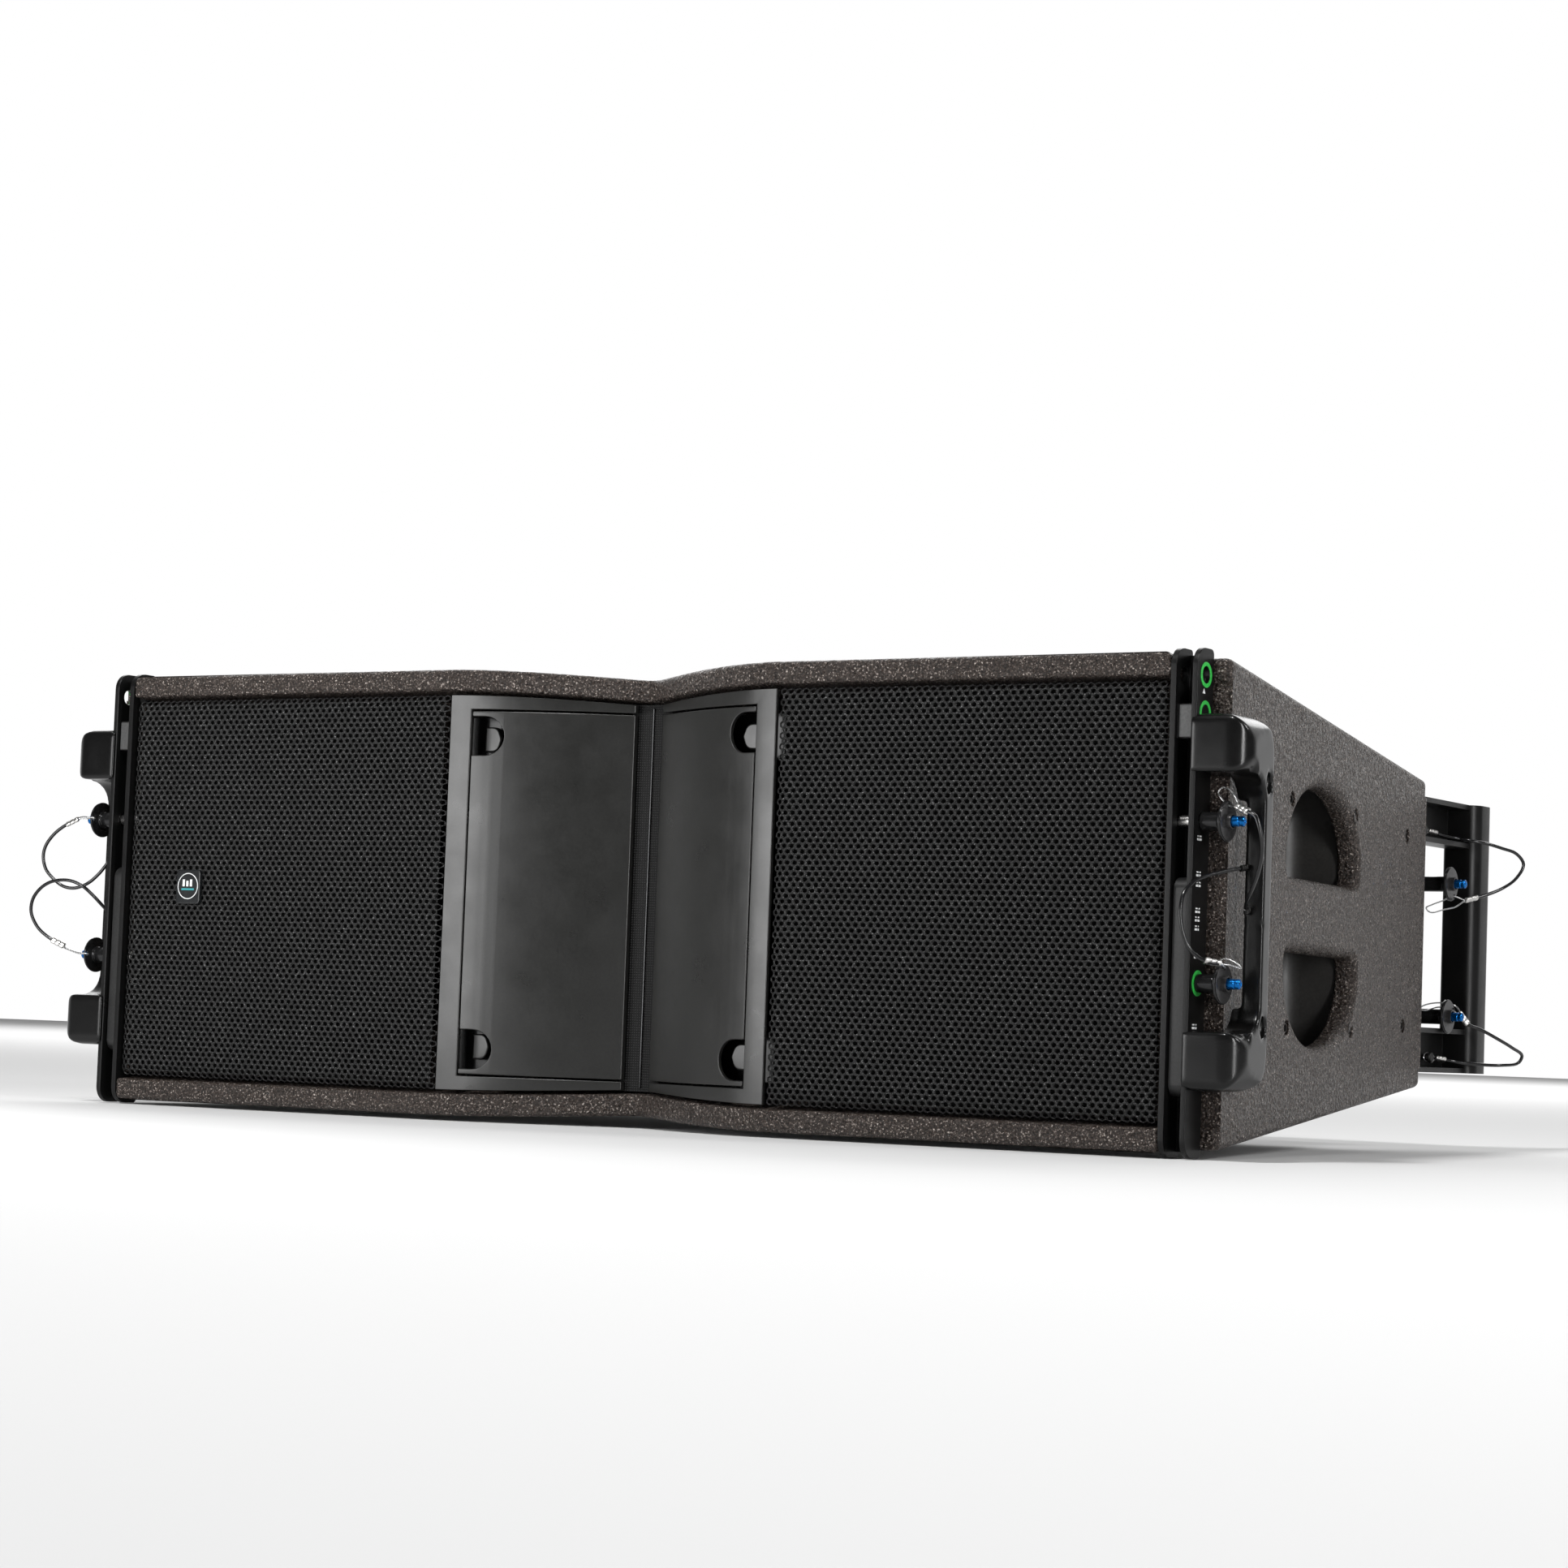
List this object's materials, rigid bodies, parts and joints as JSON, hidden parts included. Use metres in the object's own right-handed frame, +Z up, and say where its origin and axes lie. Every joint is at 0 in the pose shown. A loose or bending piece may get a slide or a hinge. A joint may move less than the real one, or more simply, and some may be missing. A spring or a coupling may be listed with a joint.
{
  "type": "line array speaker",
  "caption": "Tapered loudspeaker box with a V-shaped horn between mesh grilles, hand holes, front and rear handles, and pinned rigging arms.",
  "frame": {"origin": "under the middle of the bounding box, at the height of the lowest rigging plate edges", "axes": "+Z up, front grilles face -Y, +X to the right as seen from the front"},
  "size_m": [0.7836, 0.4989, 0.25],
  "materials": {
    "textured_wood": "black speckled polyurea texture on birch plywood, satin",
    "satin_plastic": "satin dark-grey moulded, fine grain",
    "powder_coated_metal": "black powder coat on steel, satin",
    "moulded_plastic": "satin black moulded",
    "mesh_fabric": "black three-dimensional spacer mesh",
    "woven_cloth": "black fine acoustic weave",
    "driver_metal": "cast, black painted",
    "circuit_board": "green solder mask",
    "zinc_steel": "zinc plated",
    "pin_steel": "bright turned steel and light-grey aluminium",
    "blue_anodised": "blue anodised",
    "coated_cable": "black plastic coating on steel wire"
  },
  "bodies": {
    "cabinet": {"top_panel": "textured_wood", "bottom_panel": "textured_wood", "side_panel_right": "textured_wood", "side_panel_left": "textured_wood", "rear_panel": "textured_wood", "front_baffle_right": "textured_wood", "front_baffle_left": "textured_wood", "waveguide_frame_right": "satin_plastic", "waveguide_frame_left": "satin_plastic", "hand_cup_right": "satin_plastic", "hand_cup_left": "satin_plastic", "rigging_channel_right": "powder_coated_metal", "rigging_channel_left": "powder_coated_metal", "outer_plate_right": "powder_coated_metal", "outer_plate_left": "powder_coated_metal", "rear_bracket_right": "powder_coated_metal", "rear_bracket_left": "powder_coated_metal", "rear_handle_right": "powder_coated_metal", "rear_handle_left": "powder_coated_metal", "connector_plate": "powder_coated_metal", "front_handle_right": "moulded_plastic", "front_handle_left": "moulded_plastic", "waveguide_body": "moulded_plastic", "grille_right": "mesh_fabric", "grille_left": "mesh_fabric", "waveguide_cloth": "woven_cloth", "woofer_right": "driver_metal", "woofer_left": "driver_metal", "compression_driver": "driver_metal", "crossover_board": "circuit_board"},
    "fin_right": {"fin_right": "satin_plastic"},
    "link_arm_right": {"link_arm_right": "zinc_steel"},
    "rear_arm_right": {"rear_arm_right": "zinc_steel"},
    "fin_left": {"fin_left": "satin_plastic"},
    "link_arm_left": {"link_arm_left": "zinc_steel"},
    "rear_arm_left": {"rear_arm_left": "zinc_steel"},
    "front_upper_pin_right": {"front_upper_pin_right": "pin_steel", "front_upper_lanyard_right": "coated_cable"},
    "front_upper_button_right": {"front_upper_button_right": "blue_anodised"},
    "front_upper_pin_left": {"front_upper_pin_left": "pin_steel", "front_upper_lanyard_left": "coated_cable"},
    "front_upper_button_left": {"front_upper_button_left": "blue_anodised"},
    "front_lower_pin_right": {"front_lower_pin_right": "pin_steel", "front_lower_lanyard_right": "coated_cable"},
    "front_lower_button_right": {"front_lower_button_right": "blue_anodised"},
    "front_lower_pin_left": {"front_lower_pin_left": "pin_steel", "front_lower_lanyard_left": "coated_cable"},
    "front_lower_button_left": {"front_lower_button_left": "blue_anodised"},
    "rear_upper_pin_right": {"rear_upper_pin_right": "pin_steel", "rear_upper_lanyard_right": "coated_cable"},
    "rear_upper_button_right": {"rear_upper_button_right": "blue_anodised"},
    "rear_upper_pin_left": {"rear_upper_pin_left": "pin_steel", "rear_upper_lanyard_left": "coated_cable"},
    "rear_upper_button_left": {"rear_upper_button_left": "blue_anodised"},
    "rear_lower_pin_right": {"rear_lower_pin_right": "pin_steel", "rear_lower_lanyard_right": "coated_cable"},
    "rear_lower_button_right": {"rear_lower_button_right": "blue_anodised"},
    "rear_lower_pin_left": {"rear_lower_pin_left": "pin_steel", "rear_lower_lanyard_left": "coated_cable"},
    "rear_lower_button_left": {"rear_lower_button_left": "blue_anodised"}
  },
  "joints": [
    {"name": "fin_hinge_right", "type": "hinge", "parent": "cabinet", "child": "fin_right", "pos_m": [0.0905, -0.2375, 0.125], "axis": [0, 0, 1], "range_deg": [0, 12]},
    {"name": "link_arm_swing_right", "type": "hinge", "parent": "cabinet", "child": "link_arm_right", "pos_m": [0.341, -0.2337, 0.036], "axis": [1, 0, 0], "range_deg": [0, 180]},
    {"name": "rear_arm_swing_right", "type": "hinge", "parent": "cabinet", "child": "rear_arm_right", "pos_m": [0.278, 0.1855, 0.078], "axis": [-1, 0, 0], "range_deg": [0, 180]},
    {"name": "fin_hinge_left", "type": "hinge", "parent": "cabinet", "child": "fin_left", "pos_m": [-0.0905, -0.2375, 0.125], "axis": [0, 0, -1], "range_deg": [0, 12]},
    {"name": "link_arm_swing_left", "type": "hinge", "parent": "cabinet", "child": "link_arm_left", "pos_m": [-0.341, -0.2337, 0.036], "axis": [1, 0, 0], "range_deg": [0, 180]},
    {"name": "rear_arm_swing_left", "type": "hinge", "parent": "cabinet", "child": "rear_arm_left", "pos_m": [-0.278, 0.1855, 0.078], "axis": [-1, 0, 0], "range_deg": [0, 180]},
    {"name": "front_upper_pin_slide_right", "type": "slide", "parent": "cabinet", "child": "front_upper_pin_right", "axis": [1, 0, 0], "range_m": [0, 0.018]},
    {"name": "front_upper_button_push_right", "type": "slide", "parent": "front_upper_pin_right", "child": "front_upper_button_right", "axis": [-1, 0, 0], "range_m": [0, 0.002], "stiffness_N_per_m": 400, "springref_m": -0.001},
    {"name": "front_upper_pin_slide_left", "type": "slide", "parent": "cabinet", "child": "front_upper_pin_left", "axis": [-1, 0, 0], "range_m": [0, 0.018]},
    {"name": "front_upper_button_push_left", "type": "slide", "parent": "front_upper_pin_left", "child": "front_upper_button_left", "axis": [1, 0, 0], "range_m": [0, 0.002], "stiffness_N_per_m": 400, "springref_m": -0.001},
    {"name": "front_lower_pin_slide_right", "type": "slide", "parent": "cabinet", "child": "front_lower_pin_right", "axis": [1, 0, 0], "range_m": [0, 0.018]},
    {"name": "front_lower_button_push_right", "type": "slide", "parent": "front_lower_pin_right", "child": "front_lower_button_right", "axis": [-1, 0, 0], "range_m": [0, 0.002], "stiffness_N_per_m": 400, "springref_m": -0.001},
    {"name": "front_lower_pin_slide_left", "type": "slide", "parent": "cabinet", "child": "front_lower_pin_left", "axis": [-1, 0, 0], "range_m": [0, 0.018]},
    {"name": "front_lower_button_push_left", "type": "slide", "parent": "front_lower_pin_left", "child": "front_lower_button_left", "axis": [1, 0, 0], "range_m": [0, 0.002], "stiffness_N_per_m": 400, "springref_m": -0.001},
    {"name": "rear_upper_pin_slide_right", "type": "slide", "parent": "cabinet", "child": "rear_upper_pin_right", "axis": [1, 0, 0], "range_m": [0, 0.02]},
    {"name": "rear_upper_button_push_right", "type": "slide", "parent": "rear_upper_pin_right", "child": "rear_upper_button_right", "axis": [-1, 0, 0], "range_m": [0, 0.002], "stiffness_N_per_m": 400, "springref_m": -0.001},
    {"name": "rear_upper_pin_slide_left", "type": "slide", "parent": "cabinet", "child": "rear_upper_pin_left", "axis": [-1, 0, 0], "range_m": [0, 0.02]},
    {"name": "rear_upper_button_push_left", "type": "slide", "parent": "rear_upper_pin_left", "child": "rear_upper_button_left", "axis": [1, 0, 0], "range_m": [0, 0.002], "stiffness_N_per_m": 400, "springref_m": -0.001},
    {"name": "rear_lower_pin_slide_right", "type": "slide", "parent": "cabinet", "child": "rear_lower_pin_right", "axis": [1, 0, 0], "range_m": [0, 0.02]},
    {"name": "rear_lower_button_push_right", "type": "slide", "parent": "rear_lower_pin_right", "child": "rear_lower_button_right", "axis": [-1, 0, 0], "range_m": [0, 0.002], "stiffness_N_per_m": 400, "springref_m": -0.001},
    {"name": "rear_lower_pin_slide_left", "type": "slide", "parent": "cabinet", "child": "rear_lower_pin_left", "axis": [-1, 0, 0], "range_m": [0, 0.02]},
    {"name": "rear_lower_button_push_left", "type": "slide", "parent": "rear_lower_pin_left", "child": "rear_lower_button_left", "axis": [1, 0, 0], "range_m": [0, 0.002], "stiffness_N_per_m": 400, "springref_m": -0.001}
  ]
}
